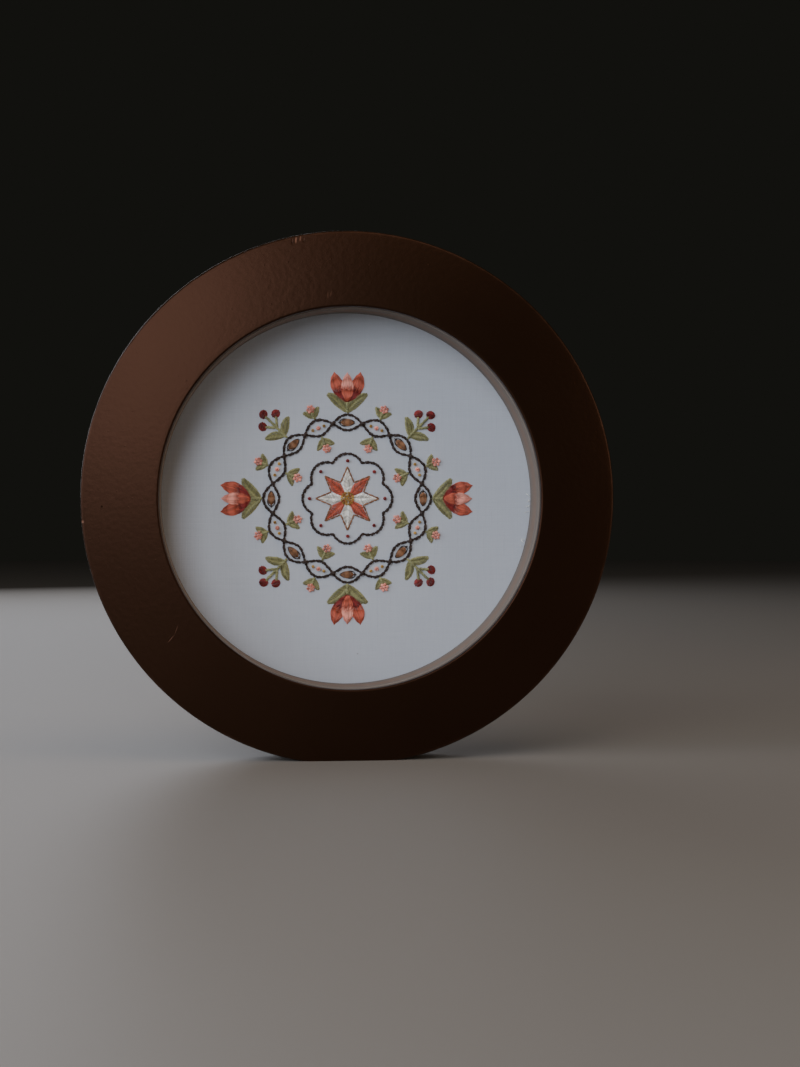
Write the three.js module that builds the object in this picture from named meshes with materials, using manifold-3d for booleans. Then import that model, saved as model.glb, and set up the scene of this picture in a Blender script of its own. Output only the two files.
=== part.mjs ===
// Framed round embroidery, standing on its rim.
// A wide lacquered wooden ring holds a pale spacer ring, a disc of stretched cotton and a backing board,
// stacked one behind the other in its bore.
// Millimetres. X is to the right seen from the front, Y runs from front to back, +Z is up.
// The origin lies on the ground, under the middle of the object.

import * as THREE from "three";
import { mergeVertices } from "three/addons/utils/BufferGeometryUtils.js";
import Module from "manifold-3d";

const wasm = await Module();
wasm.setup();

// Frame ring, turned from wood
const RIM_RADIUS = 110;
const OPENING_RADIUS = 78.3;
const FRAME_DEPTH = 32;
const SLOPE_AT_LIP = 9; // degrees by which the face falls back, beside the opening
const SLOPE_AT_RIM = 14; // the same at the rim: the face is slightly crowned
const LIP_THICKNESS = 3;
const LIP_ROUND = 1.6;
const RIM_ROUND = 1.3;
const BACK_CHAMFER = 1;
const FOOT_CUT = 1.9; // height of rim taken off to make the flat that it stands on

// What is fitted in the bore, from front to back
const FIT = 0.3; // gap between neighbours
const SPACER_INNER_RADIUS = 77.8;
const SPACER_THICKNESS = 3;
const SPACER_EDGE = 0.4; // broken edge at the spacer's front
const CLOTH_SETBACK = 25; // from the front of the lip to the face of the cloth
const CLOTH_THICKNESS = 1;
const BOARD_THICKNESS = 3;
const BOARD_EDGE = 0.5;

const TURNS = 120; // flats round each ring
const FACE_STEPS = 5;
const ROUND_STEPS = 4;

const SPACER_OUTER_RADIUS = SPACER_INNER_RADIUS + SPACER_THICKNESS;
const BORE_RADIUS = SPACER_OUTER_RADIUS + FIT;
const DISC_RADIUS = BORE_RADIUS - FIT;
const CENTRE_HEIGHT = RIM_RADIUS - FOOT_CUT;
const FRONT = -FRAME_DEPTH / 2;

// Points of a rounded corner, from one angle to another, in the plane of a profile.
function roundedCorner(radius, depth, size, fromAngle, toAngle) {
  const points = [];
  for (let i = 0; i <= ROUND_STEPS; i++) {
    const angle = fromAngle + ((toAngle - fromAngle) * i) / ROUND_STEPS;
    points.push([radius + size * Math.cos(angle), depth + size * Math.sin(angle)]);
  }
  return points;
}

// Points of the ring's face, from the end of the rounded lip to the start of the rounded rim. Its slope
// changes evenly from one to the other.
function facePoints(slopeAtLip, slopeAtRim) {
  const startRadius = OPENING_RADIUS + LIP_ROUND * (1 + Math.sin(slopeAtLip));
  const startDepth = LIP_ROUND * (1 - Math.cos(slopeAtLip));
  const width = RIM_RADIUS - RIM_ROUND * (1 - Math.sin(slopeAtRim)) - startRadius;
  const points = [];
  for (let i = 0; i <= FACE_STEPS; i++) {
    const share = i / FACE_STEPS;
    const bend = (Math.tan(slopeAtRim) - Math.tan(slopeAtLip)) / 2;
    const fall = width * (Math.tan(slopeAtLip) * share + bend * share * share);
    points.push([startRadius + width * share, startDepth + fall]);
  }
  return points;
}

// Turns a closed profile of [radius, depth behind the front] round the ring's axis.
function turn(profile) {
  const points = profile.map(([radius, depth]) => new THREE.Vector2(radius, FRONT + depth));
  const onAxis = profile[0][0] === 0;
  if (!onAxis) points.push(points[0].clone());
  return new THREE.LatheGeometry(points, TURNS);
}

// A closed geometry as a solid that can be cut.
function toSolid(geometry) {
  const bare = geometry.clone();
  bare.deleteAttribute("normal");
  bare.deleteAttribute("uv");
  const merged = mergeVertices(bare, 1e-4);
  return new wasm.Manifold(
    new wasm.Mesh({
      numProp: 3,
      vertProperties: new Float32Array(merged.attributes.position.array),
      triVerts: new Uint32Array(merged.index.array),
    }),
  );
}

// A cut solid back as a geometry.
function toGeometry(solid) {
  const mesh = solid.getMesh();
  const geometry = new THREE.BufferGeometry();
  geometry.setAttribute("position", new THREE.BufferAttribute(new Float32Array(mesh.vertProperties), 3));
  geometry.setIndex(new THREE.BufferAttribute(new Uint32Array(mesh.triVerts), 1));
  geometry.computeVertexNormals();
  return geometry;
}

// The wooden ring: rounded lip, sloping face, rounded rim, flat back and an open bore behind the lip.
function frameRingGeometry() {
  const slopeAtLip = THREE.MathUtils.degToRad(SLOPE_AT_LIP);
  const slopeAtRim = THREE.MathUtils.degToRad(SLOPE_AT_RIM);
  const lipCentre = OPENING_RADIUS + LIP_ROUND;
  const face = facePoints(slopeAtLip, slopeAtRim);
  const rimCentre = RIM_RADIUS - RIM_ROUND;
  const rimDepth = face[FACE_STEPS][1] + RIM_ROUND * Math.cos(slopeAtRim);
  const profile = [[OPENING_RADIUS, LIP_THICKNESS]];
  profile.push(...roundedCorner(lipCentre, LIP_ROUND, LIP_ROUND, Math.PI, 1.5 * Math.PI + slopeAtLip));
  profile.push(...face.slice(1, FACE_STEPS));
  profile.push(...roundedCorner(rimCentre, rimDepth, RIM_ROUND, slopeAtRim - 0.5 * Math.PI, 0));
  profile.push([RIM_RADIUS, FRAME_DEPTH - BACK_CHAMFER]);
  profile.push([RIM_RADIUS - BACK_CHAMFER, FRAME_DEPTH]);
  profile.push([BORE_RADIUS, FRAME_DEPTH]);
  profile.push([BORE_RADIUS, LIP_THICKNESS]);

  const cutHeight = 4 * FOOT_CUT;
  const block = new THREE.BoxGeometry(RIM_RADIUS, 2 * FRAME_DEPTH, cutHeight);
  block.translate(0, 0, -CENTRE_HEIGHT - cutHeight / 2);
  return toGeometry(toSolid(turn(profile)).subtract(toSolid(block)));
}

// The pale strip inside the opening.
function spacerRingGeometry() {
  const front = LIP_THICKNESS + FIT;
  const back = CLOTH_SETBACK - FIT;
  return turn([
    [SPACER_INNER_RADIUS, back],
    [SPACER_INNER_RADIUS, front + SPACER_EDGE],
    [SPACER_INNER_RADIUS + SPACER_EDGE, front],
    [SPACER_OUTER_RADIUS, front],
    [SPACER_OUTER_RADIUS, back],
  ]);
}

// The stretched disc of cotton, cut to the bore.
function clothPanelGeometry() {
  return turn([
    [0, CLOTH_SETBACK],
    [DISC_RADIUS, CLOTH_SETBACK],
    [DISC_RADIUS, CLOTH_SETBACK + CLOTH_THICKNESS],
    [0, CLOTH_SETBACK + CLOTH_THICKNESS],
  ]);
}

// The board that backs the cloth, its rear edge broken.
function backingBoardGeometry() {
  const front = CLOTH_SETBACK + CLOTH_THICKNESS + FIT;
  const back = front + BOARD_THICKNESS;
  return turn([
    [0, front],
    [DISC_RADIUS, front],
    [DISC_RADIUS, back - BOARD_EDGE],
    [DISC_RADIUS - BOARD_EDGE, back],
    [0, back],
  ]);
}

function piece(name, geometry, color, roughness) {
  const mesh = new THREE.Mesh(geometry, new THREE.MeshStandardMaterial({ color, roughness, metalness: 0 }));
  mesh.name = name;
  return mesh;
}

const rings = new THREE.Group();
rings.position.z = CENTRE_HEIGHT;
rings.add(piece("frame_ring", frameRingGeometry(), "#4a2619", 0.42));
rings.add(piece("spacer_ring", spacerRingGeometry(), "#a8968a", 0.7));
rings.add(piece("cloth_panel", clothPanelGeometry(), "#e6e8ec", 0.95));
rings.add(piece("backing_board", backingBoardGeometry(), "#8a6b4c", 0.8));

const framedEmbroidery = new THREE.Group();
framedEmbroidery.add(rings);

export default framedEmbroidery;
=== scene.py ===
"""Round framed embroidery: a lacquered wooden ring, a bare wooden spacer and a disc of embroidered cotton.

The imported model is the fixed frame. Its ring, spacer and cloth are remade here with finer surfaces, the
backing board stays and gets its finish, and the sewing is added stitch by stitch on the cloth.
Lengths are metres. X is to the right seen from the front, -Y faces the viewer and +Z is up.
"""

from __future__ import annotations

import logging
import math
import random
from collections.abc import Callable, Sequence
from dataclasses import dataclass, field
from enum import Enum

import bmesh
import bpy
from mathutils import Matrix, Vector, noise

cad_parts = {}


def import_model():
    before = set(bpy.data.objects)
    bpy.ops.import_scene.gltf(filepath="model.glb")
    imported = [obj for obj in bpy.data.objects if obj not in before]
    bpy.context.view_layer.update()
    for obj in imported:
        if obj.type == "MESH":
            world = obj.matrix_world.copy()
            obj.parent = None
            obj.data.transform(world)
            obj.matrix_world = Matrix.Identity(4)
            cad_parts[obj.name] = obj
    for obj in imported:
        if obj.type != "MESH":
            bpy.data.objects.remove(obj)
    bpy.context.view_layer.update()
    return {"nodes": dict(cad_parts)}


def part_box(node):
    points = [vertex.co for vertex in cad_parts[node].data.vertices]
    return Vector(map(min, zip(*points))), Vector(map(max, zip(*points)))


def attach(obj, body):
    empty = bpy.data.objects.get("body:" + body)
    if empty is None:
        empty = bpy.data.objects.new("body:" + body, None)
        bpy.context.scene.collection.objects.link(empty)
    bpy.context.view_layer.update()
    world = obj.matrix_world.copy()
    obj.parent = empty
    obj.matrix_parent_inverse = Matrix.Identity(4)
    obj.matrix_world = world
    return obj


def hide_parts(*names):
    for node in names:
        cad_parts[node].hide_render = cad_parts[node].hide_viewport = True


log = logging.getLogger("framed_embroidery")

MM = 0.001
QUARTER_TURN = math.pi / 2
HALF_TURN = math.pi
FULL_TURN = 2 * math.pi
MERGE_DISTANCE = 0.001 * MM
BODY = "root"
PHOTO_LONG_SIDE = 1067
SHADE_LAYER = "stitch_shade"

# Fewest steps in half a turn of twisted floss: with fewer, its plies would pinch
STEPS_IN_HALF_TURN = 4

# Sockets of a Mix node that blends two colours
MIX_SHARE, MIX_FIRST, MIX_SECOND, MIX_RESULT = 0, 6, 7, 2

Tree = bpy.types.NodeTree
Signal = bpy.types.Node | bpy.types.NodeSocket
Colour = tuple[float, float, float, float]
Outline = list[tuple[float, float]]
Curve = Callable[[float], Vector]


def linear(hex_code: str) -> Colour:
    """Turns an sRGB hex colour to the linear colour that shaders take.

    Args:
        hex_code: Colour such as "#4a2417".

    Returns:
        Linear red, green, blue and an alpha of 1.
    """
    channels = [int(hex_code[i : i + 2], 16) / 255 for i in (1, 3, 5)]
    red, green, blue = (c / 12.92 if c <= 0.04045 else ((c + 0.055) / 1.055) ** 2.4 for c in channels)
    return red, green, blue, 1.0


def add_node(tree: Tree, kind: str, inputs: dict | None = None, **settings: object) -> bpy.types.Node:
    """Adds one shader node with its settings, values and links.

    Args:
        tree: Node tree that takes the node.
        kind: Blender's name of its type, without the "ShaderNode" that it starts with.
        inputs: Values, sockets or nodes by input name or number. A node is linked by its first output.
        **settings: Attributes of the node itself.

    Returns:
        The new node.
    """
    node = tree.nodes.new("ShaderNode" + kind)
    for name, value in settings.items():
        setattr(node, name, value)
    for name, value in (inputs or {}).items():
        source = value.outputs[0] if isinstance(value, bpy.types.Node) else value
        if isinstance(source, bpy.types.NodeSocket):
            tree.links.new(source, node.inputs[name])
        else:
            node.inputs[name].default_value = source
    return node


def new_material(name: str) -> tuple[bpy.types.Material, Tree]:
    """Makes an empty node material.

    Args:
        name: Name of the real finish.

    Returns:
        The material and its node tree.
    """
    material = bpy.data.materials.new(name)
    material.use_nodes = True
    material.node_tree.nodes.clear()
    return material, material.node_tree


def lay_tones(tree: Tree, base: str, tones: Sequence[tuple[Signal, str]]) -> Signal:
    """Lays tones over a base colour, each through its mask.

    Args:
        tree: The material's tree.
        base: The colour under them all.
        tones: Each mask with its colour, from the bottom up.

    Returns:
        The colour that shows.
    """
    colour = linear(base)
    for mask, tone in tones:
        blend = {MIX_SHARE: mask, MIX_FIRST: colour, MIX_SECOND: linear(tone)}
        colour = add_node(tree, "Mix", blend, data_type="RGBA").outputs[MIX_RESULT]
    return colour


def join_masks(tree: Tree, masks: Sequence[Signal]) -> Signal:
    """Takes the largest of several masks.

    Args:
        tree: The material's tree.
        masks: The masks, one or more.

    Returns:
        Their union.
    """
    union = masks[0]
    for mask in masks[1:]:
        union = add_node(tree, "Math", {0: union, 1: mask}, operation="MAXIMUM")
    return union


@dataclass(frozen=True)
class Datum:
    """Where the round pieces lie: their common axis runs from front to back."""

    centre_height: float
    front: float
    back: float
    rim_radius: float

    @classmethod
    def from_frame(cls) -> Datum:
        """Reads the ring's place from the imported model.

        Returns:
            The datum.
        """
        low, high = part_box("frame_ring")
        radius = (high.x - low.x) / 2
        return cls(high.z - radius, low.y, high.y, radius)

    @property
    def placement(self) -> Matrix:
        """Moves a shape turned round the world's Y axis, front at y = 0, to the ring's axis."""
        return Matrix.Translation((0, self.front, self.centre_height))


def spin_outline(outline: Outline, steps: int, closed: bool) -> bmesh.types.BMesh:
    """Turns a section round the Y axis.

    Args:
        outline: Points as (radius, depth behind the front).
        steps: Flats round the full turn.
        closed: Whether the last point joins the first.

    Returns:
        The turned shape, normals outwards.
    """
    bm = bmesh.new()
    verts = [bm.verts.new((radius, depth, 0)) for radius, depth in outline]
    edges = [bm.edges.new(pair) for pair in zip(verts, verts[1:])]
    if closed:
        edges.append(bm.edges.new((verts[-1], verts[0])))
    axis = {"cent": (0, 0, 0), "axis": (0, 1, 0), "dvec": (0, 0, 0)}
    bmesh.ops.spin(bm, geom=verts + edges, angle=FULL_TURN, steps=steps, use_merge=True, **axis)
    bmesh.ops.remove_doubles(bm, verts=bm.verts, dist=MERGE_DISTANCE)
    bmesh.ops.recalc_face_normals(bm, faces=bm.faces)
    return bm


def corner(radius: float, depth: float, size: float, start: float, end: float, steps: int) -> Outline:
    """Gives the points of a rounded corner in a section, round its own centre from one angle to another."""
    angles = [start + (end - start) * i / steps for i in range(steps + 1)]
    return [(radius + size * math.cos(a), depth + size * math.sin(a)) for a in angles]


def finish_object(
    name: str, bm: bmesh.types.BMesh, material: bpy.types.Material, crease: float = 28.0
) -> bpy.types.Object:
    """Turns a shape into a shaded object that rides on the body.

    Args:
        name: Name of the piece.
        bm: Its shape, in place. It is freed.
        material: Its finish.
        crease: Edges bent by more than this many degrees stay sharp.

    Returns:
        The finished object.
    """
    for face in bm.faces:
        face.smooth = True
    for edge in bm.edges:
        edge.smooth = not (edge.is_manifold and edge.calc_face_angle(0) > math.radians(crease))
    mesh = bpy.data.meshes.new(name)
    bm.to_mesh(mesh)
    bm.free()
    mesh.materials.append(material)
    piece = bpy.data.objects.new(name, mesh)
    bpy.context.scene.collection.objects.link(piece)
    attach(piece, BODY)
    mesh.calc_loop_triangles()
    log.info("%s: %d triangles", name, len(mesh.loop_triangles))
    return piece


@dataclass(frozen=True)
class Mark:
    """A small flaw in a finish, an ellipse seen from the front, measured from the ring's centre."""

    across: float
    up: float
    length: float
    width: float
    lean: float = 0.0  # degrees clockwise from upright
    strength: float = 1.0
    reach: float = 14 * MM  # how deep it goes from front to back
    core: float = 0.35  # how far out it keeps its full strength

    def mask(self, tree: Tree, centred: Signal, depth: float) -> Signal:
        """Makes the flaw's mask.

        Args:
            tree: The material's tree.
            centred: Coordinates from the ring's centre.
            depth: Y of the surface that it is on.

        Returns:
            The flaw's strength within it, and 0 outside it.
        """
        ellipse = {
            "Vector": centred,
            "Location": (self.across, depth, self.up),
            "Rotation": (0, math.radians(self.lean), 0),
            "Scale": (self.width / 2, self.reach, self.length / 2),
        }
        own = add_node(tree, "Mapping", ellipse, vector_type="TEXTURE")
        away = add_node(tree, "VectorMath", {0: own}, operation="LENGTH").outputs["Value"]
        soft = {"Value": away, "From Min": self.core, "To Min": self.strength, "To Max": 0.0}
        return add_node(tree, "MapRange", soft)


@dataclass(frozen=True)
class SatinLacquer:
    """Dark red-brown satin lacquer, sprayed over a turned wooden ring.

    It gives a nearly black brown with a broad, soft, brown highlight, a fine orange peel, a rim rubbed a
    little lighter, and the few small knocks and scratches of a piece that has been handled.
    """

    deep: str = "#160e07"
    warm: str = "#1d130b"
    rubbed: str = "#4a3328"
    fresh: str = "#8a6350"
    highlight: str = "#ffb392"
    gloss: float = 0.37
    roughness: tuple[float, float] = (0.33, 0.40)
    cloud_width: float = 45 * MM
    peel_width: float = 2.2 * MM
    peel_height: float = 0.15 * MM
    nib_spacing: float = 5 * MM
    nib_share: float = 0.09  # width of a dust nib, as a share of the spacing
    nib_height: float = 0.05 * MM
    knock_depth: float = 0.25 * MM
    mark_depth: float = 4 * MM  # how far the middle of the face lies behind the front
    wear_width: float = 0.8 * MM
    wear_patch: float = 9 * MM
    wear_bounds: tuple[float, float] = (0.45, 0.75)  # noise at which it starts and is full
    wear_strength: tuple[float, float] = (0.05, 0.7)  # least and greatest wear
    # Each mark's place to the right and up, its length, width, lean and strength
    pale_knocks: tuple[Mark, ...] = (
        Mark(-22.5 * MM, 105.6 * MM, 3.4 * MM, 1.1 * MM, 4, 0.6),
        Mark(-20.7 * MM, 106.2 * MM, 2.8 * MM, 0.9 * MM, 8, 0.5),
        Mark(-9.8 * MM, 82.9 * MM, 3.2 * MM, 0.6 * MM, 3, 0.1),
        Mark(-8.5 * MM, 83.4 * MM, 3.6 * MM, 0.6 * MM, 6, 0.1),
        Mark(-71.2 * MM, -53.2 * MM, 5.2 * MM, 0.5 * MM, 20, 0.2),
        Mark(-73.4 * MM, -57.0 * MM, 4.8 * MM, 0.5 * MM, 40, 0.28),
        Mark(-109.0 * MM, -9.4 * MM, 1.5 * MM, 1.2 * MM, 0, 0.7),
    )
    dark_knocks: tuple[Mark, ...] = (
        Mark(-24.0 * MM, 105.0 * MM, 2.8 * MM, 0.9 * MM, 4),
        Mark(-19.3 * MM, 105.6 * MM, 2.6 * MM, 0.8 * MM, 8),
        Mark(-101.2 * MM, -3.9 * MM, 1.9 * MM, 0.7 * MM, 6),
    )

    def material(self, datum: Datum, wear_radius: float) -> bpy.types.Material:
        """Makes the finish.

        Args:
            datum: Where the ring lies.
            wear_radius: Radius of the edge that is rubbed.

        Returns:
            The material.
        """
        material, tree = new_material("satin_lacquer_on_wood")
        place = add_node(tree, "TexCoord").outputs["Object"]
        centred = add_node(tree, "Mapping", {"Vector": place, "Location": (0, 0, -datum.centre_height)})
        cloudy = {"Vector": centred, "Scale": 1 / self.cloud_width, "Detail": 4.0}
        clouds = add_node(tree, "TexNoise", cloudy)
        depth = datum.front + self.mark_depth
        pale = join_masks(tree, [mark.mask(tree, centred, depth) for mark in self.pale_knocks])
        dark = join_masks(tree, [mark.mask(tree, centred, depth) for mark in self.dark_knocks])
        worn = self._worn_edge(tree, centred, wear_radius)
        tones = ((clouds, self.warm), (worn, self.rubbed), (pale, self.fresh))
        least, most = self.roughness
        lacquer = {
            "Base Color": lay_tones(tree, self.deep, tones),
            "Roughness": add_node(tree, "MapRange", {"Value": clouds, "To Min": least, "To Max": most}),
            "IOR": 1.5,
            "Specular IOR Level": self.gloss,
            "Specular Tint": linear(self.highlight),
            "Normal": self._relief(tree, centred, clouds, join_masks(tree, [pale, dark])),
        }
        add_node(tree, "OutputMaterial", {"Surface": add_node(tree, "BsdfPrincipled", lacquer)})
        return material

    def _worn_edge(self, tree: Tree, centred: Signal, wear_radius: float) -> Signal:
        """Masks the places where handling has rubbed the ring's edge.

        Args:
            tree: The material's tree.
            centred: Coordinates from the ring's centre.
            wear_radius: Radius of the edge.

        Returns:
            The mask.
        """
        parts = add_node(tree, "SeparateXYZ", {"Vector": centred}).outputs
        flat = add_node(tree, "CombineXYZ", {"X": parts["X"], "Z": parts["Z"]})
        radius = add_node(tree, "VectorMath", {0: flat}, operation="LENGTH").outputs["Value"]
        offset = add_node(tree, "Math", {0: radius, 1: wear_radius}, operation="SUBTRACT")
        away = add_node(tree, "Math", {0: offset}, operation="ABSOLUTE")
        fade = {"Value": away, "From Max": self.wear_width, "To Min": 1.0, "To Max": 0.0}
        patchy = {"Vector": centred, "Scale": 1 / self.wear_patch, "Detail": 6.0, "Roughness": 0.7}
        uneven = {
            "Value": add_node(tree, "TexNoise", patchy),
            "From Min": self.wear_bounds[0],
            "From Max": self.wear_bounds[1],
            "To Min": self.wear_strength[0],
            "To Max": self.wear_strength[1],
        }
        both = {0: add_node(tree, "MapRange", fade), 1: add_node(tree, "MapRange", uneven)}
        return add_node(tree, "Math", both, operation="MULTIPLY")

    def _relief(self, tree: Tree, centred: Signal, clouds: Signal, knocks: Signal) -> Signal:
        """Raises the orange peel and a few dust nibs, and sinks the knocks.

        Args:
            tree: The material's tree.
            centred: Coordinates from the ring's centre.
            clouds: How strong the orange peel is from place to place.
            knocks: Mask of the knocks.

        Returns:
            The bent normal.
        """
        fine = {"Vector": centred, "Scale": 1 / self.peel_width, "Detail": 2.0, "Roughness": 0.5}
        peel = add_node(tree, "TexNoise", fine)
        skin = add_node(tree, "Bump", {"Strength": clouds, "Height": peel, "Distance": self.peel_height})
        cells = add_node(tree, "TexVoronoi", {"Vector": centred, "Scale": 1 / self.nib_spacing})
        peaks = {"Value": cells, "From Max": self.nib_share, "To Min": 1.0, "To Max": 0.0}
        nibs = add_node(tree, "MapRange", peaks)
        dusty = add_node(tree, "Bump", {"Height": nibs, "Distance": self.nib_height, "Normal": skin})
        knocked = {"Height": knocks, "Distance": self.knock_depth, "Normal": dusty}
        return add_node(tree, "Bump", knocked, invert=True)


@dataclass(frozen=True)
class BareWood:
    """Bare sanded wood, bent round: a dry grey taupe, warmer in its middle, its fine grain along the ring."""

    pale: str = "#8a8179"
    dark: str = "#6b625a"
    middle: str = "#847265"
    grain_length: float = 40 * MM
    grain_width: float = 0.7 * MM
    grain_height: float = 0.03 * MM
    grain_bounds: tuple[float, float] = (0.3, 0.7)  # noise at the darkest and the palest grain
    band_half_width: float = 4.5 * MM
    band_fade: float = 2.5 * MM

    def material(self, datum: Datum, radius: float, middle_depth: float) -> bpy.types.Material:
        """Makes the finish.

        Args:
            datum: Where the ring lies.
            radius: Radius of the face that shows.
            middle_depth: Y of the strip's middle.

        Returns:
            The material.
        """
        material, tree = new_material("bare_sanded_wood")
        place = add_node(tree, "TexCoord").outputs["Object"]
        parts = add_node(tree, "SeparateXYZ", {"Vector": place}).outputs
        up = add_node(tree, "Math", {0: parts["Z"], 1: datum.centre_height}, operation="SUBTRACT")
        angle = add_node(tree, "Math", {0: up, 1: parts["X"]}, operation="ARCTAN2")
        along = add_node(tree, "Math", {0: angle, 1: radius / self.grain_length}, operation="MULTIPLY")
        across = add_node(tree, "Math", {0: parts["Y"], 1: 1 / self.grain_width}, operation="MULTIPLY")
        lines = add_node(tree, "CombineXYZ", {"X": along, "Y": across})
        grain = add_node(tree, "TexNoise", {"Vector": lines, "Scale": 1.0, "Detail": 5.0, "Roughness": 0.6})
        off_middle = add_node(tree, "Math", {0: parts["Y"], 1: middle_depth}, operation="SUBTRACT")
        fade = {
            "Value": add_node(tree, "Math", {0: off_middle}, operation="ABSOLUTE"),
            "From Min": self.band_half_width - self.band_fade,
            "From Max": self.band_half_width + self.band_fade,
            "To Min": 1.0,
            "To Max": 0.0,
        }
        band = add_node(tree, "MapRange", fade)
        darkest, palest = self.grain_bounds
        spread = add_node(tree, "MapRange", {"Value": grain, "From Min": darkest, "From Max": palest})
        wood = {
            "Base Color": lay_tones(tree, self.dark, ((spread, self.pale), (band, self.middle))),
            "Roughness": 0.75,
            "IOR": 1.45,
            "Specular IOR Level": 0.2,
            "Normal": add_node(tree, "Bump", {"Height": grain, "Distance": self.grain_height}),
        }
        add_node(tree, "OutputMaterial", {"Surface": add_node(tree, "BsdfPrincipled", wood)})
        return material


@dataclass(frozen=True)
class PlainCotton:
    """Bleached plain-woven cotton: matte, cool white, with an even weave and a few thicker threads, and
    painted shade where the weave lies low.
    """

    white: str = "#cad0d9"
    # Colour where the height is low: partly random slub tone, partly painted shade between the threads of the
    # weave
    shade: str = "#bfc6d0"
    thread_pitch: float = 0.5 * MM
    thread_height: float = 0.05 * MM
    slub_length: float = 14 * MM
    slub_width: float = 0.55 * MM
    slub_drift: float = 2.0  # how far a slub pushes its neighbours aside, in radians of the weave
    slub_tone_and_weave_shade_bounds: tuple[float, float] = (0.7, 1.9)  # height at the darkest and the palest tone
    speck: Mark = Mark(4.3 * MM, -65.4 * MM, 0.9 * MM, 1.1 * MM)
    speck_tone: str = "#8f9296"

    def material(self, datum: Datum) -> bpy.types.Material:
        """Makes the finish.

        Args:
            datum: Where the cloth's centre lies.

        Returns:
            The material.
        """
        material, tree = new_material("plain_woven_cotton")
        place = add_node(tree, "TexCoord").outputs["Object"]
        centred = add_node(tree, "Mapping", {"Vector": place, "Location": (0, 0, -datum.centre_height)})
        parts = add_node(tree, "SeparateXYZ", {"Vector": centred}).outputs
        warp_slubs = self._slubs(tree, centred, (self.slub_width, 1, self.slub_length))
        weft_slubs = self._slubs(tree, centred, (self.slub_length, 1, self.slub_width))
        warp = self._threads(tree, parts["X"], warp_slubs)
        weft = self._threads(tree, parts["Z"], weft_slubs)
        crossing = add_node(tree, "Math", {0: warp, 1: weft}, operation="MULTIPLY")
        weave = add_node(tree, "Math", {0: crossing}, operation="ABSOLUTE")
        slubs = add_node(tree, "Math", {0: warp_slubs, 1: weft_slubs}, operation="ADD")
        height = add_node(tree, "Math", {0: slubs, 1: weave}, operation="ADD")
        # The colour follows the height: random slub tone, and painted shade where the weave lies low between
        # the threads
        low, high = self.slub_tone_and_weave_shade_bounds
        tone = add_node(tree, "MapRange", {"Value": height, "From Min": low, "From Max": high})
        speck = self.speck.mask(tree, centred, datum.back)
        cotton = {
            "Base Color": lay_tones(tree, self.shade, ((tone, self.white), (speck, self.speck_tone))),
            "Roughness": 0.9,
            "IOR": 1.45,
            "Specular IOR Level": 0.2,
            "Sheen Weight": 0.15,
            "Sheen Roughness": 0.5,
            "Normal": add_node(tree, "Bump", {"Height": height, "Distance": self.thread_height}),
        }
        add_node(tree, "OutputMaterial", {"Surface": add_node(tree, "BsdfPrincipled", cotton)})
        return material

    def _slubs(self, tree: Tree, centred: Signal, size: tuple[float, float, float]) -> Signal:
        """Makes the uneven thickness of the threads that run one way, from its width along X, Y and Z."""
        scaled = add_node(tree, "Mapping", {"Vector": centred, "Scale": tuple(1 / s for s in size)})
        return add_node(tree, "TexNoise", {"Vector": scaled, "Scale": 1.0, "Detail": 2.0})

    def _threads(self, tree: Tree, across: Signal, slubs: Signal) -> Signal:
        """Lays threads side by side, a little unevenly.

        Args:
            tree: The material's tree.
            across: Coordinate across the threads.
            slubs: The threads' own unevenness.

        Returns:
            A wave with one swing for each thread.
        """
        phase = add_node(tree, "Math", {0: across, 1: math.pi / self.thread_pitch}, operation="MULTIPLY")
        drift = add_node(tree, "Math", {0: slubs, 1: self.slub_drift}, operation="MULTIPLY")
        uneven = add_node(tree, "Math", {0: phase, 1: drift}, operation="ADD")
        return add_node(tree, "Math", {0: uneven}, operation="SINE")


@dataclass(frozen=True)
class FibreBoard:
    """Pressed brown fibre board: flat and matte, with short fibres felted every way."""

    pale: str = "#96724f"
    dark: str = "#7b5a3c"
    fibre_width: float = 1.2 * MM
    fibre_height: float = 0.05 * MM
    fibre_bounds: tuple[float, float] = (0.3, 0.7)  # noise at the darkest and the palest fibre

    def material(self) -> bpy.types.Material:
        """Makes the finish.

        Returns:
            The material.
        """
        material, tree = new_material("pressed_fibre_board")
        felt = {
            "Vector": add_node(tree, "TexCoord").outputs["Object"],
            "Scale": 1 / self.fibre_width,
            "Detail": 5.0,
            "Roughness": 0.65,
            "Distortion": 1.2,
        }
        fibres = add_node(tree, "TexNoise", felt)
        darkest, palest = self.fibre_bounds
        spread = add_node(tree, "MapRange", {"Value": fibres, "From Min": darkest, "From Max": palest})
        board = {
            "Base Color": lay_tones(tree, self.dark, ((spread, self.pale),)),
            "Roughness": 0.8,
            "IOR": 1.45,
            "Normal": add_node(tree, "Bump", {"Height": fibres, "Distance": self.fibre_height}),
        }
        add_node(tree, "OutputMaterial", {"Surface": add_node(tree, "BsdfPrincipled", board)})
        return material


class Floss(Enum):
    """Colours of the stranded cotton floss, as they look in even light, and the piece sewn with each."""

    BARK = ("#33221a", "dark_brown_back_stitch")
    OLIVE = ("#97976b", "green_stem_stitch")
    SAGE = ("#969465", "sage_fishbone_leaves")
    CORAL = ("#c9624a", "coral_filling")
    GARNET = ("#86211e", "garnet_filling")
    BLUSH = ("#f8a794", "blush_filling")
    CREAM = ("#f7f6ef", "cream_filling")
    GOLD = ("#c0964a", "gold_knots")
    TAN = ("#8f6342", "tan_filling")

    @property
    def tone(self) -> str:
        """Gives its sRGB hex colour."""
        return self.value[0]

    @property
    def piece(self) -> str:
        """Gives the name of the piece that is sewn with it."""
        return self.value[1]


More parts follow.
